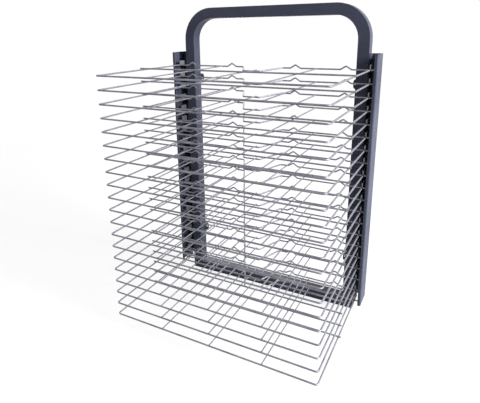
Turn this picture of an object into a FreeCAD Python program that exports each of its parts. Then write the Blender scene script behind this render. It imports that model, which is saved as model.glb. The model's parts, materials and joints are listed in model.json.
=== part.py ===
"""Art drying rack: a tube hoop with two channel rails that carry twenty hinged wire shelves.

Millimetres, +Z up, +X to the right as seen from the open front, -Y to the front.
The origin is under the middle of the whole rack, level with the foot of the hoop.
"""
import FreeCAD, Part
import math
import os
import re

import Sketcher

# The driving sizes, each with its value and what it measures.
SIZES = {
    # shelves and their places
    "shelf_count": (20, "number of shelves"),
    "shelf_pitch": (25.4, "height from one shelf to the next"),
    "lowest_shelf": (32.9, "foot of the rack to the lowest shelf"),
    "shelf_width": (420.0, "width between the side wires"),
    "shelf_depth": (260.0, "front wire to pivot line"),
    "pivot_to_back": (41.0, "pivot line to the back of the rack"),
    # wires of a shelf
    "rim_wire": (3.0, "diameter of the front and side wire"),
    "rim_corner": (5.0, "bend at the front corners"),
    "rear_wire": (3.0, "diameter of the rear wire and its pins"),
    "cross_wire": (3.0, "diameter of the cross wire"),
    "cross_place": (128.0, "front wire to cross wire"),
    "cross_overhang": (5.0, "cross wire past the middle of a side wire"),
    "run_wire": (2.2, "diameter of the wires that run front to back"),
    "run_spacing": (105.0, "middle run wire to the outer ones"),
    "run_shift": (5.0, "middle run wire to the right of the middle of the shelf"),
    "run_bend": (60.0, "bend of the middle run wire under the cross wire"),
    "weld_sink": (0.5, "how far crossing wires are sunk into each other by the weld"),
    # shape of the rear wire
    "rear_shift": (5.3, "middle of the crank and crests to the left of the middle of the shelf"),
    "crank_mouth": (87.2, "width of the middle crank at the pivot line"),
    "crank_flat": (36.0, "width of the middle crank at its front"),
    "crank_reach": (54.1, "pivot line to the front of the crank"),
    "crank_drop": (3.0, "fall of the crank below the plane of the shelf"),
    "crank_bend": (6.0, "bends of the crank"),
    "crank_lead": (9.0, "straight run on each side of the crank"),
    "inner_crest": (27.4, "mouth of the crank to the inner crest"),
    "outer_crest": (39.0, "side wire to the outer crest"),
    "crest_height": (6.6, "rise of a crest"),
    "crest_base": (21.0, "width of a crest at its foot"),
    "crest_bend": (3.0, "bends of a crest"),
    "pin_clearance": (0.08, "play round a pin in its hole"),
    "pin_set_in": (0.1, "pin end inside the outer face of the rail"),
    # ears at the rear ends of the side wires
    "ear_depth": (21.0, "pivot line to the rear end of an ear"),
    "ear_slant": (5.0, "top corner of an ear ahead of its rear end"),
    "ear_height": (9.5, "top of an ear above the plane of the shelf"),
    "ear_sheet": (2.5, "thickness of an ear"),
    # rails
    "side_room": (14.3, "middle of a side wire to the outer face of the rail"),
    "rail_width": (21.3, "outer face of the rail to the leg"),
    "rail_wall": (1.5, "sheet of the rails"),
    "rail_lip": (6.3, "width of the lip that turns in at the front"),
    "rail_flange": (20.0, "depth of the flange that lies on the leg"),
    "rail_bend": (2.5, "outer radius of the bends in the sheet"),
    "rail_ahead": (7.9, "pivot line to the front of the rail"),
    "rail_above": (28.5, "top pin to the upper end of the rail"),
    "rail_below": (6.1, "lowest pin to the lower end of the rail"),
    # hoop
    "hoop_rise": (121.5, "top shelf to the top of the hoop"),
    "tube_width": (22.0, "face of the hoop tube as seen from the front"),
    "tube_depth": (25.0, "tube from front to back"),
    "tube_wall": (1.5, "wall of the hoop tube"),
    "hoop_corner": (67.0, "outer radius of the top corners"),
    "bar_height": (22.0, "face of the bottom bar"),
    # wall lugs
    "lug_reach": (9.0, "lug past the inner face of the leg"),
    "lug_height": (20.0, "height of a lug"),
    "lug_sheet": (2.5, "thickness of a lug"),
    "lug_round": (6.0, "radius of the free corners"),
    "lug_hole": (4.5, "diameter of the screw hole"),
    "lug_hole_reach": (4.6, "inner face of the leg to the screw hole"),
    "lower_lugs": (75.6, "lowest shelf to the lower screw holes"),
    "upper_lugs": (31.0, "top shelf to the upper screw holes"),
}

# Places that several pieces share, as formulas of the sizes.
BACK = "((rim_wire / 2 + shelf_depth + pivot_to_back) / 2)"
PIVOT = f"({BACK} - pivot_to_back)"
FRONT = f"({PIVOT} - shelf_depth)"
SIDE = "(shelf_width / 2)"
OUTSIDE = f"({SIDE} + side_room)"
LEG_OUTSIDE = f"({OUTSIDE} - rail_width)"
LEG_MIDDLE = f"({LEG_OUTSIDE} - tube_width / 2)"
LEG_INSIDE = f"({LEG_OUTSIDE} - tube_width)"
TUBE_MIDDLE = f"({BACK} - tube_depth / 2)"
TOP_SHELF = "(lowest_shelf + (shelf_count - 1) * shelf_pitch)"
UPPER_LUGS = f"({TOP_SHELF} - upper_lugs)"
LOWER_LUGS = "(lowest_shelf + lower_lugs)"
PIN_END = f"({OUTSIDE} - pin_set_in)"
CRANK_END = "(crank_mouth / 2 + crank_lead)"
RUN_RISE = "((rim_wire - run_wire - weld_sink) / 2)"

doc = FreeCAD.newDocument("art_drying_rack")
dims = doc.addObject("Spreadsheet::Sheet", "dims")
for row, (name, (value, note)) in enumerate(SIZES.items(), start=1):
    dims.set(f"A{row}", note)
    dims.set(f"B{row}", str(value))
    dims.setAlias(f"B{row}", name)
doc.recompute()


def formula(text):
    """The formula with each size's name pointed at its cell."""
    return re.sub(r"[a-z_]+", lambda word: "dims." + word[0] if word[0] in SIZES else word[0], text)


def measure(text):
    """The value of a formula now."""
    value = dims.evalExpression(formula(text))
    return float(getattr(value, "Value", value))


def bind(target, prop, text):
    target.setExpression(prop, formula(text))


def origin_feature(body, role):
    return next(feature for feature in body.Origin.OriginFeatures if feature.Role == role)


def new_body(name):
    body = doc.addObject("PartDesign::Body", name)
    body.Label = name
    return body


def new_sketch(body, name, role, offset="0", side="z"):
    """A sketch on an origin plane, moved by the offset along its own axis: z is off the plane."""
    sketch = body.newObject("Sketcher::SketchObject", name)
    sketch.AttachmentSupport = [(origin_feature(body, role), "")]
    sketch.MapMode = "FlatFace"
    bind(sketch, f"AttachmentOffset.Base.{side}", offset)
    return sketch


def constrain(sketch, kind, *geometry, size=None):
    """A constraint, bound to the formula of its size where it has one."""
    if size is None:
        sketch.addConstraint(Sketcher.Constraint(kind, *geometry))
        return
    index = sketch.addConstraint(Sketcher.Constraint(kind, *geometry, measure(size)))
    bind(sketch, f"Constraints[{index}]", size)


def pin_point(sketch, geometry, end, across, up):
    constrain(sketch, "DistanceX", -1, 1, geometry, end, size=across)
    constrain(sketch, "DistanceY", -1, 1, geometry, end, size=up)


def rounding(before, corner, after, radius):
    """Where an arc of the radius leaves one run and joins the next, and its centre."""
    back = (before - corner).normalize()
    ahead = (after - corner).normalize()
    half = back.getAngle(ahead) / 2
    start = corner + back * (radius / math.tan(half))
    finish = corner + ahead * (radius / math.tan(half))
    centre = corner + (back + ahead).normalize() * (radius / math.sin(half))
    return start, finish, centre


def draw_runs(sketch, corners, closed):
    """Straight runs from corner to corner. A corner is (across, up, bend radius or None)."""
    count = len(corners)
    points = [FreeCAD.Vector(measure(across), measure(up), 0) for across, up, bend in corners]
    starts, ends, arcs = list(points), list(points), {}
    for i, (across, up, bend) in enumerate(corners):
        if bend:
            near, far = points[i - 1], points[(i + 1) % count]
            ends[i], starts[i], centre = rounding(near, points[i], far, measure(bend))
            arcs[i] = centre
    run_count = count if closed else count - 1
    runs = []
    for i in range(run_count):
        line = Part.LineSegment(starts[i], ends[(i + 1) % count])
        runs.append(sketch.addGeometry(line))
    for i, (across, up, bend) in enumerate(corners):
        before = runs[i - 1] if closed or i else None
        after = runs[i] if i < run_count else None
        if bend:
            draw_bend(sketch, before, after, points[i], ends[i], starts[i], arcs[i], corners[i])
            continue
        if before is not None and after is not None:
            constrain(sketch, "Coincident", before, 2, after, 1)
        geometry, end = (after, 1) if after is not None else (before, 2)
        pin_point(sketch, geometry, end, across, up)


def draw_bend(sketch, before, after, corner, start, finish, centre, place):
    """An arc that leaves one run and joins the next, with their meeting point held."""
    across, up, bend = place
    left_turn = (corner - start).cross(finish - corner).z > 0
    first, last = (start, finish) if left_turn else (finish, start)
    circle = Part.Circle(centre, FreeCAD.Vector(0, 0, 1), (start - centre).Length)
    angles = [math.atan2(p.y - centre.y, p.x - centre.x) for p in (first, last)]
    arc = sketch.addGeometry(Part.ArcOfCircle(circle, *angles))
    meeting = sketch.addGeometry(Part.Point(corner), True)
    pin_point(sketch, meeting, 1, across, up)
    constrain(sketch, "PointOnObject", meeting, 1, before)
    constrain(sketch, "PointOnObject", meeting, 1, after)
    constrain(sketch, "Tangent", before, 2, arc, 1 if left_turn else 2)
    constrain(sketch, "Tangent", after, 1, arc, 2 if left_turn else 1)
    constrain(sketch, "Radius", arc, size=bend)


def draw_circle(sketch, across, up, diameter):
    centre = FreeCAD.Vector(measure(across), measure(up), 0)
    circle = Part.Circle(centre, FreeCAD.Vector(0, 0, 1), measure(diameter) / 2)
    index = sketch.addGeometry(circle)
    pin_point(sketch, index, 3, across, up)
    constrain(sketch, "Diameter", index, size=diameter)


def draw_rectangle(sketch, across, up, width, height, inset="0"):
    """A rectangle about its middle, taken in on every side by the inset."""
    half_width = f"({width} / 2 - {inset})"
    half_height = f"({height} / 2 - {inset})"
    corners = [
        (f"{across} {side} {half_width}", f"{up} {level} {half_height}", None)
        for side, level in (("-", "-"), ("+", "-"), ("+", "+"), ("-", "+"))
    ]
    draw_runs(sketch, corners, closed=True)


def sweep(body, name, section, path):
    pipe = body.newObject("PartDesign::AdditivePipe", name)
    pipe.Profile = section
    pipe.Spine = path
    return pipe


def pad(body, name, sketch, length, symmetric=False):
    feature = body.newObject("PartDesign::Pad", name)
    feature.Profile = sketch
    if symmetric:
        feature.SideType = "Symmetric"
    bind(feature, "Length", length)
    return feature


def repeat_upwards(body, name, feature, count, pitch):
    """The feature again at each pitch up the body."""
    pattern = body.newObject("PartDesign::LinearPattern", name)
    pattern.Originals = [feature]
    pattern.Direction = (origin_feature(body, "Z_Axis"), [""])
    bind(pattern, "Length", f"({count} - 1) * {pitch}")
    bind(pattern, "Occurrences", count)
    body.Tip = pattern
    return pattern


def make_hoop():
    """One bent tube: two legs and the top, open at both feet."""
    body = new_body("hoop_frame")
    path = new_sketch(body, "hoop_path", "XZ_Plane", f"-{TUBE_MIDDLE}")
    top = f"({TOP_SHELF} + hoop_rise - tube_width / 2)"
    bend = "(hoop_corner - tube_width / 2)"
    corners = [
        (f"-{LEG_MIDDLE}", "0", None),
        (f"-{LEG_MIDDLE}", top, bend),
        (LEG_MIDDLE, top, bend),
        (LEG_MIDDLE, "0", None),
    ]
    draw_runs(path, corners, closed=False)
    section = new_sketch(body, "hoop_section", "XY_Plane")
    draw_rectangle(section, f"-{LEG_MIDDLE}", TUBE_MIDDLE, "tube_width", "tube_depth")
    draw_rectangle(section, f"-{LEG_MIDDLE}", TUBE_MIDDLE, "tube_width", "tube_depth", "tube_wall")
    sweep(body, "hoop_tube", section, path)
    return body


def make_bottom_bar():
    """The tube welded between the feet of the legs."""
    body = new_body("bottom_bar")
    section = new_sketch(body, "bar_section", "YZ_Plane")
    draw_rectangle(section, TUBE_MIDDLE, "bar_height / 2", "tube_depth", "bar_height")
    draw_rectangle(section, TUBE_MIDDLE, "bar_height / 2", "tube_depth", "bar_height", "tube_wall")
    pad(body, "bar_tube", section, f"2 * {LEG_INSIDE}", symmetric=True)
    return body


def make_rail(name, side):
    """A sheet channel: lip, outer wall with the pin holes, back, and the flange on the leg."""
    body = new_body(name)
    inner_bend = "(rail_bend - rail_wall)"
    front = f"({PIVOT} - rail_ahead)"
    profile = [
        (f"{OUTSIDE} - rail_lip", front, None),
        (OUTSIDE, front, "rail_bend"),
        (OUTSIDE, BACK, "rail_bend"),
        (LEG_OUTSIDE, BACK, "rail_bend"),
        (LEG_OUTSIDE, f"{BACK} - rail_flange", None),
        (f"{LEG_OUTSIDE} + rail_wall", f"{BACK} - rail_flange", None),
        (f"{LEG_OUTSIDE} + rail_wall", f"{BACK} - rail_wall", inner_bend),
        (f"{OUTSIDE} - rail_wall", f"{BACK} - rail_wall", inner_bend),
        (f"{OUTSIDE} - rail_wall", f"{front} + rail_wall", inner_bend),
        (f"{OUTSIDE} - rail_lip", f"{front} + rail_wall", None),
    ]
    corners = [(f"{side} * ({across})", up, bend) for across, up, bend in profile]
    foot = "(lowest_shelf - rail_below)"
    sheet = new_sketch(body, "rail_section", "XY_Plane", foot)
    draw_runs(sheet, corners, closed=True)
    channel = pad(body, "rail_channel", sheet, f"{TOP_SHELF} + rail_above - {foot}")
    doc.recompute()
    solid_volume = channel.Shape.Volume

    drill = new_sketch(body, "pin_hole", "YZ_Plane", f"{side} * {OUTSIDE}")
    draw_circle(drill, PIVOT, "lowest_shelf", "rear_wire + 2 * pin_clearance")
    hole = body.newObject("PartDesign::Pocket", "pin_holes")
    hole.Profile = drill
    hole.SideType = "Symmetric"
    bind(hole, "Length", "2 * rail_lip")
    pattern = repeat_upwards(body, "hole_row", hole, "shelf_count", "shelf_pitch")
    doc.recompute()
    if pattern.Shape.Volume >= solid_volume:
        raise RuntimeError(f"the pin holes of {name} cut nothing")
    return body


def rear_wire_corners(side):
    """Half the rear wire, from the pin end inwards, as it lies in its upright plane."""
    corners = [(f"{side} * {PIN_END}", "0", None)]
    for crest in (f"({SIDE} - outer_crest)", "(crank_mouth / 2 + inner_crest)"):
        corners += [
            (f"{side} * ({crest} + crest_base / 2) - rear_shift", "0", "crest_bend"),
            (f"{side} * {crest} - rear_shift", "crest_height", "crest_bend"),
            (f"{side} * ({crest} - crest_base / 2) - rear_shift", "0", "crest_bend"),
        ]
    corners.append((f"{side} * {CRANK_END} - rear_shift", "0", None))
    return corners


def make_half_rear(body, word, side):
    """The rear wire of one side with its pin, and the ear at the rear end of the side wire."""
    path = new_sketch(body, f"{word}_rear_path", "XZ_Plane", f"-{PIVOT}")
    draw_runs(path, rear_wire_corners(side), closed=False)
    section = new_sketch(body, f"{word}_rear_section", "YZ_Plane", f"{side} * {PIN_END}")
    draw_circle(section, PIVOT, "0", "rear_wire")
    sweep(body, f"{word}_rear_wire", section, path)

    outline = new_sketch(body, f"{word}_ear_outline", "YZ_Plane", f"{side} * {SIDE}")
    corners = [
        (PIVOT, "-rim_wire / 2", None),
        (f"{PIVOT} + ear_depth", "-rim_wire / 2", None),
        (f"{PIVOT} + ear_depth - ear_slant", "ear_height", None),
        (PIVOT, "ear_height", None),
    ]
    draw_runs(outline, corners, closed=True)
    pad(body, f"{word}_ear", outline, "ear_sheet", symmetric=True)


def make_grille():
    """One welded wire shelf, its plane at height zero, which all the shelves repeat."""
    body = new_body("shelf_grille")
    side_end = f"({PIVOT} + rear_wire / 2)"

    rim_path = new_sketch(body, "rim_path", "XY_Plane")
    corners = [
        (f"-{SIDE}", side_end, None),
        (f"-{SIDE}", FRONT, "rim_corner"),
        (SIDE, FRONT, "rim_corner"),
        (SIDE, side_end, None),
    ]
    draw_runs(rim_path, corners, closed=False)
    rim_section = new_sketch(body, "rim_section", "XZ_Plane", f"-{side_end}")
    draw_circle(rim_section, f"-{SIDE}", "0", "rim_wire")
    sweep(body, "rim", rim_section, rim_path)

    for word, side in (("left", -1), ("right", 1)):
        make_half_rear(body, word, side)

    crank_path = new_sketch(body, "crank_path", "XY_Plane", PIVOT, side="y")
    crank_path.AttachmentOffset.Rotation = FreeCAD.Rotation(FreeCAD.Vector(1, 0, 0), 1)
    bind(crank_path, "AttachmentOffset.Rotation.Angle", "asin(crank_drop / crank_reach)")
    corners = [
        (f"-{CRANK_END} - rear_shift", "0", None),
        ("-crank_mouth / 2 - rear_shift", "0", "crank_bend"),
        ("-crank_flat / 2 - rear_shift", "-crank_reach", "crank_bend"),
        ("crank_flat / 2 - rear_shift", "-crank_reach", "crank_bend"),
        ("crank_mouth / 2 - rear_shift", "0", "crank_bend"),
        (f"{CRANK_END} - rear_shift", "0", None),
    ]
    draw_runs(crank_path, corners, closed=False)
    crank_section = new_sketch(body, "crank_section", "YZ_Plane", f"-{CRANK_END} - rear_shift")
    draw_circle(crank_section, PIVOT, "0", "rear_wire")
    sweep(body, "crank", crank_section, crank_path)

    cross_section = new_sketch(body, "cross_section", "YZ_Plane")
    cross_rise = "(rim_wire / 2 + cross_wire / 2 - weld_sink)"
    cross_middle = f"({FRONT} + cross_place)"
    draw_circle(cross_section, cross_middle, cross_rise, "cross_wire")
    pad(body, "cross", cross_section, "shelf_width + 2 * cross_overhang", symmetric=True)

    outer_runs = new_sketch(body, "outer_runs", "XZ_Plane", f"-{PIVOT}")
    for sign in ("-", "+"):
        draw_circle(outer_runs, f"run_shift {sign} run_spacing", RUN_RISE, "run_wire")
    pad(body, "outer_run_wires", outer_runs, "shelf_depth")

    middle_path = new_sketch(body, "middle_path", "YZ_Plane", "run_shift")
    crank_place = f"({PIVOT} - crank_reach * cos(asin(crank_drop / crank_reach)))"
    crank_seat = "(rear_wire / 2 + run_wire / 2 - weld_sink - crank_drop)"
    corners = [
        (FRONT, RUN_RISE, None),
        (cross_middle, RUN_RISE, "run_bend"),
        (f"{crank_place} + rear_wire / 2", crank_seat, None),
    ]
    draw_runs(middle_path, corners, closed=False)
    middle_section = new_sketch(body, "middle_section", "XZ_Plane", f"-{FRONT}")
    draw_circle(middle_section, "run_shift", RUN_RISE, "run_wire")
    sweep(body, "middle_run_wire", middle_section, middle_path)
    return body


def make_shelves(grille):
    """The same grille at each pitch, numbered from the top."""
    shelves = []
    for number in range(1, round(measure("shelf_count")) + 1):
        name = f"shelf_{number:02d}"
        shelf = doc.addObject("Part::Compound", name)
        shelf.Label = name
        shelf.Links = [grille]
        bind(shelf, "Placement.Base.z", f"{TOP_SHELF} - {number - 1} * shelf_pitch")
        shelves.append(shelf)
    return shelves


def make_lug(name, side, height):
    """A small plate on the back of a leg, with a hole for a wall screw."""
    body = new_body(name)
    tip = f"({LEG_INSIDE} - lug_reach)"
    profile = [
        (LEG_INSIDE, f"{height} - lug_height / 2", None),
        (LEG_INSIDE, f"{height} + lug_height / 2", None),
        (tip, f"{height} + lug_height / 2", "lug_round"),
        (tip, f"{height} - lug_height / 2", "lug_round"),
    ]
    corners = [(f"{side} * ({across})", up, bend) for across, up, bend in profile]
    plate = new_sketch(body, "lug_outline", "XZ_Plane", f"-{BACK}")
    draw_runs(plate, corners, closed=True)
    draw_circle(plate, f"{side} * ({LEG_INSIDE} - lug_hole_reach)", height, "lug_hole")
    pad(body, "lug_plate", plate, "lug_sheet")
    return body


def make_rack():
    pieces = [make_hoop(), make_bottom_bar()]
    for word, side in (("left", -1), ("right", 1)):
        pieces.append(make_rail(f"{word}_rail", side))
        for level, height in (("upper", UPPER_LUGS), ("lower", LOWER_LUGS)):
            pieces.append(make_lug(f"{level}_{word}_wall_lug", side, height))
    pieces += make_shelves(make_grille())
    return pieces


def check_and_write(pieces):
    doc.recompute()
    for thing in doc.Objects:
        if {"Invalid", "Error"} & set(thing.State):
            raise RuntimeError(f"{thing.Label} did not build: {thing.State}")
    os.makedirs("parts", exist_ok=True)
    for piece in pieces:
        if piece.Shape.isNull() or not piece.Shape.isValid() or len(piece.Shape.Solids) != 1:
            raise RuntimeError(f"{piece.Label} is not one sound solid")
        piece.Shape.exportStep(f"parts/{piece.Label}.step")
        print(f"{piece.Label}: {piece.Shape.Volume / 1000:.2f} cm3")


check_and_write(make_rack())
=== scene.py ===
"""Art drying rack: the finish of every piece, the small welds, the studio and the camera.

Metres, +Z up, the open front of the shelves towards -Y, the wall side towards +Y.
"""
import json
import math

import bmesh
import bpy
from mathutils import Matrix, Vector


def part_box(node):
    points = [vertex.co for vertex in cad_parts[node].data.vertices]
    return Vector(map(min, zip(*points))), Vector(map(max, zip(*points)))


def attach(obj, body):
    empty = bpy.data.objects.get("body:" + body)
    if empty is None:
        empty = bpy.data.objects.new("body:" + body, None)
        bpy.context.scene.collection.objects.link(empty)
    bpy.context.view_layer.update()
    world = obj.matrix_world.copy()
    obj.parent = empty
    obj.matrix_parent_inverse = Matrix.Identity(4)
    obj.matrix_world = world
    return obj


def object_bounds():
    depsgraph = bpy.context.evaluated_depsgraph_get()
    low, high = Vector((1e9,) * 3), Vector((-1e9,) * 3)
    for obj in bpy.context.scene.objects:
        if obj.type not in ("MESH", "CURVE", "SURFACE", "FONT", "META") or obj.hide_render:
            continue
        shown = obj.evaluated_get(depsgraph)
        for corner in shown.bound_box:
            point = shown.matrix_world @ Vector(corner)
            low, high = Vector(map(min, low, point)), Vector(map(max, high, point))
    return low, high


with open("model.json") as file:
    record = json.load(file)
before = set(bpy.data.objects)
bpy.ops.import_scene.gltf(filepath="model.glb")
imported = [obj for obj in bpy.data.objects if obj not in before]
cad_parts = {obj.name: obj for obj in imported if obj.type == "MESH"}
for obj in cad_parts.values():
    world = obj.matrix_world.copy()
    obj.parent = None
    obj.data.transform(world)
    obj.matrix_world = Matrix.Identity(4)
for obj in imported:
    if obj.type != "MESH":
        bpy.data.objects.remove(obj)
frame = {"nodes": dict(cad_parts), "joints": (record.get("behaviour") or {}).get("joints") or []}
cad_box = [Vector(corner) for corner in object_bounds()]
scene = bpy.context.scene
nodes = frame["nodes"]
SHELVES = sorted(name for name in nodes if name.startswith("shelf_"))
SHEET_PIECES = [name for name in nodes if name.endswith(("_rail", "_lug"))]
TUBE_PIECES = ["hoop_frame", "bottom_bar"]

# Colours, as linear red, green and blue.
COAT_BLUE = (0.044, 0.048, 0.073, 1)
COAT_DEEP = (0.027, 0.030, 0.047, 1)
COAT_RUBBED = (0.130, 0.138, 0.175, 1)
COAT_DUST = (0.30, 0.31, 0.34, 1)
STEEL_BRIGHT = (0.26, 0.26, 0.295, 1)
STEEL_DULL = (0.160, 0.160, 0.188, 1)
STEEL_STAIN = (0.09, 0.085, 0.09, 1)
WHITE = (1, 1, 1, 1)


# Shader trees


def add(tree, kind, **settings):
    """A node, with its properties and the values of its inputs set by name."""
    node = tree.nodes.new(kind)
    for name, value in settings.items():
        if name in node.inputs:
            node.inputs[name].default_value = value
        else:
            setattr(node, name, value)
    return node


def spread(tree, value, low, high, to_low=0.0, to_high=1.0):
    """The value stretched from one range to another, held at the ends."""
    node = add(tree, "ShaderNodeMapRange")
    limits = {"From Min": low, "From Max": high, "To Min": to_low, "To Max": to_high}
    for label, number in limits.items():
        node.inputs[label].default_value = number
    tree.links.new(value, node.inputs["Value"])
    return node.outputs["Result"]


def times(tree, first, second):
    node = add(tree, "ShaderNodeMath", operation="MULTIPLY")
    tree.links.new(first, node.inputs[0])
    if isinstance(second, float):
        node.inputs[1].default_value = second
    else:
        tree.links.new(second, node.inputs[1])
    return node.outputs[0]


def noise(tree, place, scale, detail=2.0, roughness=0.5):
    node = add(tree, "ShaderNodeTexNoise", Scale=scale, Detail=detail, Roughness=roughness)
    tree.links.new(place, node.inputs["Vector"])
    return node.outputs["Fac"]


def mix(tree, mask, first, second):
    """The first colour where the mask is 0 and the second where it is 1."""
    node = add(tree, "ShaderNodeMix", data_type="RGBA")
    tree.links.new(mask, node.inputs["Factor"])
    for slot, colour in ((6, first), (7, second)):
        if isinstance(colour, tuple):
            node.inputs[slot].default_value = colour
        else:
            tree.links.new(colour, node.inputs[slot])
    return node.outputs[2]


def new_group(name, inputs, outputs):
    """A node group with number sockets, its two ends, and the object's own coordinates."""
    group = bpy.data.node_groups.new(name, "ShaderNodeTree")
    for label, value in inputs.items():
        made = group.interface.new_socket(name=label, in_out="INPUT", socket_type="NodeSocketFloat")
        made.default_value = value
    for label in outputs:
        group.interface.new_socket(name=label, in_out="OUTPUT", socket_type="NodeSocketFloat")
    inlet = group.nodes.new("NodeGroupInput")
    outlet = group.nodes.new("NodeGroupOutput")
    place = group.nodes.new("ShaderNodeTexCoord").outputs["Object"]
    return group, inlet, outlet, place


def grain_group():
    """The fine pebbling of a cured coat, slow drifts of its shade and shine, and dust specks."""
    inputs = {"Grain Size": 900.0, "Drift Size": 9.0}
    group, inlet, outlet, place = new_group("cured_grain", inputs, ("Height", "Drift", "Speckle"))
    fine = add(group, "ShaderNodeTexNoise", Detail=3.0, Roughness=0.55)
    slow = add(group, "ShaderNodeTexNoise", Detail=4.0, Roughness=0.6)
    dots = add(group, "ShaderNodeTexVoronoi", Scale=420.0)
    for node, size in ((fine, "Grain Size"), (slow, "Drift Size")):
        group.links.new(place, node.inputs["Vector"])
        group.links.new(inlet.outputs[size], node.inputs["Scale"])
    group.links.new(place, dots.inputs["Vector"])
    speckle = spread(group, dots.outputs["Distance"], 0.0, 0.16, 1, 0)
    group.links.new(fine.outputs["Fac"], outlet.inputs["Height"])
    group.links.new(spread(group, slow.outputs["Fac"], 0.3, 0.7), outlet.inputs["Drift"])
    group.links.new(speckle, outlet.inputs["Speckle"])
    return group


def edge_group():
    """A mask of outer edges, broken up as hands and walls rub them."""
    inputs = {"Reach": 0.0012, "Amount": 0.6}
    group, inlet, outlet, place = new_group("rubbed_edges", inputs, ("Mask",))
    rounded = add(group, "ShaderNodeBevel", samples=4)
    group.links.new(inlet.outputs["Reach"], rounded.inputs["Radius"])
    shape = group.nodes.new("ShaderNodeNewGeometry")
    dot = add(group, "ShaderNodeVectorMath", operation="DOT_PRODUCT")
    group.links.new(rounded.outputs["Normal"], dot.inputs[0])
    group.links.new(shape.outputs["Normal"], dot.inputs[1])
    edge = spread(group, dot.outputs["Value"], 0.80, 0.99, 1, 0)
    patches = spread(group, noise(group, place, 60.0, 5.0, 0.65), 0.42, 0.62)
    worn = times(group, times(group, edge, patches), inlet.outputs["Amount"])
    group.links.new(worn, outlet.inputs["Mask"])
    return group


def tarnish_group():
    """Cloudy dulling of bright wire, fine drawing marks and a few dark specks."""
    inputs = {"Cloud Size": 38.0, "Mark Size": 2600.0}
    group, inlet, outlet, place = new_group("wire_tarnish", inputs, ("Cloud", "Marks", "Specks"))
    cloud = add(group, "ShaderNodeTexNoise", Detail=5.0, Roughness=0.62)
    marks = add(group, "ShaderNodeTexNoise", Detail=2.0, Roughness=0.5)
    for node, size in ((cloud, "Cloud Size"), (marks, "Mark Size")):
        group.links.new(place, node.inputs["Vector"])
        group.links.new(inlet.outputs[size], node.inputs["Scale"])
    specks = spread(group, noise(group, place, 330.0, 2.0), 0.66, 0.74)
    group.links.new(spread(group, cloud.outputs["Fac"], 0.34, 0.68), outlet.inputs["Cloud"])
    group.links.new(marks.outputs["Fac"], outlet.inputs["Marks"])
    group.links.new(specks, outlet.inputs["Specks"])
    return group


GRAIN = grain_group()
EDGES = edge_group()
TARNISH = tarnish_group()


def use_group(tree, group, **values):
    node = tree.nodes.new("ShaderNodeGroup")
    node.node_tree = group
    for name, value in values.items():
        node.inputs[name.replace("_", " ")].default_value = value
    return node.outputs


def new_material(name, **settings):
    """A material whose plain numbers are set on the surface shader itself."""
    material = bpy.data.materials.new(name)
    material.use_nodes = True
    shader = material.node_tree.nodes["Principled BSDF"]
    for label, value in settings.items():
        shader.inputs[label.replace("_", " ")].default_value = value
    return material, material.node_tree, shader


def roughen(tree, shader, height, distance):
    node = add(tree, "ShaderNodeBump", Distance=distance)
    tree.links.new(height, node.inputs["Height"])
    tree.links.new(node.outputs["Normal"], shader.inputs["Normal"])


def powder_coat(name, gloss=0.42, rubbed=0.6, grain=900.0):
    """Dark blue-grey powder coat: pebbled, a little dusty, rubbed lighter along its edges."""
    material, tree, shader = new_material(name, Metallic=0.0, IOR=1.5, Specular_IOR_Level=0.12)
    coat = use_group(tree, GRAIN, Grain_Size=grain)
    wear = use_group(tree, EDGES, Amount=rubbed)
    shade = mix(tree, coat["Drift"], COAT_DEEP, COAT_BLUE)
    dusty = mix(tree, times(tree, coat["Speckle"], 0.10), shade, COAT_DUST)
    tree.links.new(mix(tree, wear["Mask"], dusty, COAT_RUBBED), shader.inputs["Base Color"])
    rough = spread(tree, coat["Drift"], 0.0, 1.0, gloss + 0.06, gloss - 0.05)
    tree.links.new(rough, shader.inputs["Roughness"])
    roughen(tree, shader, coat["Height"], 0.00006)
    return material


def drawn_wire(name, bright, dull, gloss=0.56):
    """Drawn steel wire with a thin bright plating, clouded and specked."""
    material, tree, shader = new_material(name, Metallic=1.0)
    age = use_group(tree, TARNISH)
    clouded = mix(tree, age["Cloud"], bright, dull)
    stained = mix(tree, times(tree, age["Specks"], 0.6), clouded, STEEL_STAIN)
    tree.links.new(stained, shader.inputs["Base Color"])
    rough = spread(tree, age["Cloud"], 0.0, 1.0, gloss, gloss + 0.14)
    tree.links.new(rough, shader.inputs["Roughness"])
    roughen(tree, shader, age["Marks"], 0.00001)
    return material


TUBE_COAT = powder_coat("tube_powder_coat")
SHEET_COAT = powder_coat("sheet_powder_coat", gloss=0.46, rubbed=0.75, grain=1100.0)
SHELF_WIRE = drawn_wire("shelf_wire_plating", STEEL_BRIGHT, STEEL_DULL)
WELD_SCALE = drawn_wire("weld_scale", STEEL_DULL, STEEL_STAIN, gloss=0.58)


def dress(names, material):
    for name in names:
        slots = nodes[name].data.materials
        slots.clear()
        slots.append(material)


# Welds


def new_piece(name, shape, material):
    """A smooth mesh object with one material."""
    mesh = bpy.data.meshes.new(name)
    for face in shape.faces:
        face.smooth = True
    shape.to_mesh(mesh)
    shape.free()
    mesh.materials.append(material)
    piece = bpy.data.objects.new(name, mesh)
    scene.collection.objects.link(piece)
    return piece


def add_drop(shape, centre, half_sizes):
    """A small flattened ball of set metal."""
    size = Matrix.Diagonal((*half_sizes, 1))
    place = Matrix.Translation(centre) @ size
    bmesh.ops.create_icosphere(shape, subdivisions=2, radius=1, matrix=place)


# A bead: the step from drop to drop, its half width, how far its middle lies from the corner as a
# share of that, and what it leaves free at both ends.
DROP_STEP = 0.0016
BEAD_WIDTH = 0.0019
CORNER_SHARE = 0.45
END_GAP = 0.003


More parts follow.
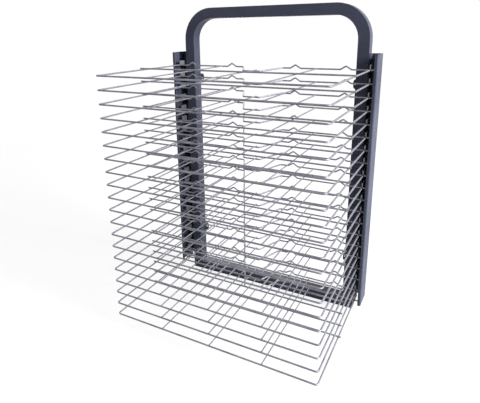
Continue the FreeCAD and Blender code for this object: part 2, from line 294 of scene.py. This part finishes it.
def add_bead(shape, start, finish, width=BEAD_WIDTH):
    """A fillet weld: overlapping drops laid from one point to another."""
    start, finish = Vector(start), Vector(finish)
    run = finish - start
    count = max(2, round(run.length / DROP_STEP))
    along = [abs(part) / run.length for part in run]
    for i in range(count + 1):
        swell = 1 + 0.10 * math.sin(2.3 * i) + 0.05 * math.sin(5.1 * i)
        half_sizes = [width * swell * (1 - 0.22 * part) for part in along]
        add_drop(shape, start + run * (i / count), half_sizes)


# The sheet of the rails, and the stitches on it: their length, number, half width and end margin.
RAIL_WALL = 0.0015
STITCH_LENGTH = 0.018
STITCH_COUNT = 7
STITCH_WIDTH = BEAD_WIDTH * 0.8
STITCH_MARGIN = 0.015


def leg_face(name):
    """The X of a piece's face on the leg, and +1 on the right side of the rack, -1 on the left."""
    low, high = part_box(name)
    side = 1 if low[0] > 0 else -1
    inner, outer = sorted((abs(low[0]), abs(high[0])))
    return (inner if "rail" in name else outer) * side, side


def flange_edge(name, face):
    """How far forward the flange that lies on the leg reaches."""
    return min(v.co.y for v in nodes[name].data.vertices if abs(v.co.x - face) < RAIL_WALL / 4)


def weld_bar(shape):
    """A bead over each end of the bottom bar, in the corner with the leg."""
    low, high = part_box("bottom_bar")
    inset = BEAD_WIDTH * CORNER_SHARE
    for side in (-1, 1):
        across = side * (high[0] - inset)
        start = (across, low[1] + END_GAP, high[2] + inset)
        finish = (across, high[1] - END_GAP, high[2] + inset)
        add_bead(shape, start, finish)


def weld_rail(shape, name):
    """Stitches along the front edge of the flange on the leg."""
    low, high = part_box(name)
    face, side = leg_face(name)
    edge = flange_edge(name, face)
    across = face + side * RAIL_WALL / 2
    room = (high[2] - low[2] - 2 * STITCH_MARGIN) / (STITCH_COUNT - 1)
    for i in range(STITCH_COUNT):
        middle = low[2] + STITCH_MARGIN + i * room
        foot, head = middle - STITCH_LENGTH / 2, middle + STITCH_LENGTH / 2
        add_bead(shape, (across, edge, foot), (across, edge, head), STITCH_WIDTH)


def weld_lug(shape, name):
    """An upright bead where a lug meets the inside of the leg."""
    low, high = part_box(name)
    face, side = leg_face(name)
    inset = BEAD_WIDTH * CORNER_SHARE
    across, front = face - side * inset, low[1] - inset
    add_bead(shape, (across, front, low[2] + END_GAP), (across, front, high[2] - END_GAP))


def weld_frame():
    shape = bmesh.new()
    weld_bar(shape)
    for name in SHEET_PIECES:
        make = weld_rail if "rail" in name else weld_lug
        make(shape, name)
    beads = new_piece("frame_welds", shape, TUBE_COAT)
    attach(beads, "frame")


# The wires of a shelf: pin end to side wire, thickness, places of the three long wires and of the
# cross wire, and how far the crank of the rear wire reaches forward and down.
SIDE_WIRE_INSET = 0.0142
RIM_WIRE, REAR_WIRE = 0.0030, 0.0030
RUN_SPACING, RUN_SHIFT = 0.105, 0.005
CROSS_PLACE = 0.128
CRANK_REACH, CRANK_DROP = 0.0541, 0.0030

# The set metal: its height over the plane of the shelf, its distance from the wire that it meets, and
# its half sizes at each kind of crossing.
ON_RIM, ON_CROSS, ON_PIN = 0.0007, 0.0012, 0.0003
TOE = 0.0014
RUN_ON_RIM = (0.0017, 0.0014, 0.0010)
RUN_ON_CROSS = (0.0017, 0.0016, 0.0009)
RUN_ON_REAR = (0.0016, 0.0014, 0.0010)
SIDE_ON_CROSS = (0.0018, 0.0017, 0.0011)
SIDE_ON_REAR = (0.0022, 0.0019, 0.0018)
RUN_ON_CRANK = (0.0016, 0.0017, 0.0009)


def weld_points(name, pivot):
    """Where the wires of a shelf cross, from its plane, and the half sizes of the set metal."""
    low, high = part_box(name)
    side = high[0] - SIDE_WIRE_INSET
    front = low[1] + RIM_WIRE / 2
    cross = front + CROSS_PLACE
    runs = (RUN_SHIFT - RUN_SPACING, RUN_SHIFT, RUN_SHIFT + RUN_SPACING)
    crank_top = REAR_WIRE / 2 - CRANK_DROP
    points = [((x, front + TOE, ON_RIM), RUN_ON_RIM) for x in runs]
    points += [((x, cross, ON_CROSS), RUN_ON_CROSS) for x in runs]
    points += [((x, pivot - TOE, ON_RIM), RUN_ON_REAR) for x in (runs[0], runs[2])]
    points += [((x, cross, ON_CROSS), SIDE_ON_CROSS) for x in (-side, side)]
    points += [((x, pivot, ON_PIN), SIDE_ON_REAR) for x in (-side, side)]
    points.append(((RUN_SHIFT, pivot - CRANK_REACH, crank_top), RUN_ON_CRANK))
    return points


def weld_shelves():
    """The small welds at every crossing: one mesh that all the shelves share."""
    hinges = {joint["child"]: joint["pos_m"] for joint in frame["joints"]}
    shape = bmesh.new()
    for centre, half_sizes in weld_points(SHELVES[0], hinges[SHELVES[0]][1]):
        add_drop(shape, centre, half_sizes)
    first = new_piece(SHELVES[0] + "_welds", shape, WELD_SCALE)
    for name in SHELVES:
        piece = first
        if name != SHELVES[0]:
            piece = bpy.data.objects.new(name + "_welds", first.data)
            scene.collection.objects.link(piece)
        piece.location.z = hinges[name][2]
        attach(piece, name)


# Studio


# The floor: its half width, and its white glow, whose share of the look grows from the first to the
# second share between the first and the second distance from the middle.
FLOOR_REACH = 40.0
FLOOR_GLOW = 1.01
GLOW_SHARES = (0.84, 1.0)
GLOW_DISTANCES = (0.9, 2.4)
SKY_LIGHT = 0.20


def make_floor():
    """A wide pale floor that shows white far away and keeps the soft shadow of the rack."""
    mesh = bpy.data.meshes.new("floor")
    signs = ((-1, -1), (1, -1), (1, 1), (-1, 1))
    outline = [(x * FLOOR_REACH, y * FLOOR_REACH, cad_box[0].z) for x, y in signs]
    mesh.from_pydata(outline, [], [(0, 1, 2, 3)])
    floor = bpy.data.objects.new("floor", mesh)
    scene.collection.objects.link(floor)
    material = bpy.data.materials.new("floor_white")
    material.use_nodes = True
    tree = material.node_tree
    tree.nodes.clear()
    lit = add(tree, "ShaderNodeBsdfDiffuse", Color=(0.8, 0.8, 0.8, 1))
    glow = add(tree, "ShaderNodeEmission", Color=WHITE, Strength=FLOOR_GLOW)
    shown = add(tree, "ShaderNodeMixShader")
    place = tree.nodes.new("ShaderNodeTexCoord").outputs["Object"]
    away = add(tree, "ShaderNodeVectorMath", operation="LENGTH")
    tree.links.new(place, away.inputs[0])
    share = spread(tree, away.outputs["Value"], *GLOW_DISTANCES, *GLOW_SHARES)
    tree.links.new(share, shown.inputs[0])
    chosen = add(tree, "ShaderNodeMixShader")
    path = tree.nodes.new("ShaderNodeLightPath")
    seen = add(tree, "ShaderNodeMath", operation="MAXIMUM")
    out = tree.nodes.new("ShaderNodeOutputMaterial")
    tree.links.new(path.outputs["Is Camera Ray"], seen.inputs[0])
    tree.links.new(path.outputs["Is Glossy Ray"], seen.inputs[1])
    tree.links.new(lit.outputs[0], shown.inputs[1])
    tree.links.new(glow.outputs[0], shown.inputs[2])
    tree.links.new(seen.outputs[0], chosen.inputs[0])
    tree.links.new(lit.outputs[0], chosen.inputs[1])
    tree.links.new(shown.outputs[0], chosen.inputs[2])
    tree.links.new(chosen.outputs[0], out.inputs["Surface"])
    mesh.materials.append(material)


def make_world():
    """White where it is seen or mirrored, and a softer pale light on everything else."""
    world = bpy.data.worlds.new("studio")
    scene.world = world
    world.use_nodes = True
    tree = world.node_tree
    tree.nodes.clear()
    path = tree.nodes.new("ShaderNodeLightPath")
    mirrored = add(tree, "ShaderNodeMath", operation="MAXIMUM")
    either = add(tree, "ShaderNodeMath", operation="MAXIMUM")
    background = add(tree, "ShaderNodeBackground", Color=WHITE)
    out = tree.nodes.new("ShaderNodeOutputWorld")
    tree.links.new(path.outputs["Is Camera Ray"], mirrored.inputs[0])
    tree.links.new(path.outputs["Is Glossy Ray"], mirrored.inputs[1])
    tree.links.new(mirrored.outputs[0], either.inputs[0])
    tree.links.new(path.outputs["Is Transmission Ray"], either.inputs[1])
    strength = spread(tree, either.outputs[0], 0.0, 1.0, SKY_LIGHT, 1.0)
    tree.links.new(strength, background.inputs["Strength"])
    tree.links.new(background.outputs[0], out.inputs["Surface"])


def make_lamp(name, place, size, watts):
    """A round soft lamp turned to the middle of the rack."""
    lamp = bpy.data.lights.new(name, "AREA")
    lamp.shape = "DISK"
    lamp.size = size
    lamp.energy = watts
    holder = bpy.data.objects.new(name, lamp)
    scene.collection.objects.link(holder)
    holder.location = place
    middle = (cad_box[0] + cad_box[1]) / 2
    holder.rotation_euler = (middle - Vector(place)).to_track_quat("-Z", "Y").to_euler()


def light_studio():
    """The key lamp stands low on the right, a weak one in front and a soft one behind."""
    make_lamp("key_lamp", (3.2, -0.2, 1.7), 1.6, 400)
    make_lamp("front_lamp", (1.1, -0.9, 1.1), 0.9, 5)
    make_lamp("rim_lamp", (-0.9, 1.7, 0.9), 1.1, 20)


# The camera stands at the right of the open front, with its lens shifted down.
IMAGE_WIDTH, IMAGE_HEIGHT = 480, 403
CAMERA_PLACE = (0.3660, -0.7215, 0.5884)
CAMERA_YAW, CAMERA_PITCH, CAMERA_ROLL = 27.90, -15.60, -0.80
FOCAL_PIXELS = 435.8
OPTICAL_CENTRE = (233.6, 152.0)


def make_camera():
    lens = bpy.data.cameras.new("camera")
    camera = bpy.data.objects.new("camera", lens)
    scene.collection.objects.link(camera)
    lens.sensor_width = 36.0
    lens.lens = FOCAL_PIXELS / IMAGE_WIDTH * lens.sensor_width
    lens.shift_x = ((IMAGE_WIDTH - 1) / 2 - OPTICAL_CENTRE[0]) / IMAGE_WIDTH
    lens.shift_y = (OPTICAL_CENTRE[1] - (IMAGE_HEIGHT - 1) / 2) / IMAGE_WIDTH
    lens.clip_start, lens.clip_end = 0.01, 100.0
    turn = Matrix.Rotation(math.radians(CAMERA_YAW), 4, "Z")
    tip = Matrix.Rotation(math.radians(90 + CAMERA_PITCH), 4, "X")
    roll = Matrix.Rotation(math.radians(CAMERA_ROLL), 4, "Z")
    camera.matrix_world = Matrix.Translation(CAMERA_PLACE) @ turn @ tip @ roll
    scene.camera = camera


dress(TUBE_PIECES, TUBE_COAT)
dress(SHEET_PIECES, SHEET_COAT)
dress(SHELVES, SHELF_WIRE)
weld_frame()
weld_shelves()
make_floor()
make_world()
light_studio()
make_camera()
scene.view_settings.view_transform = "Standard"
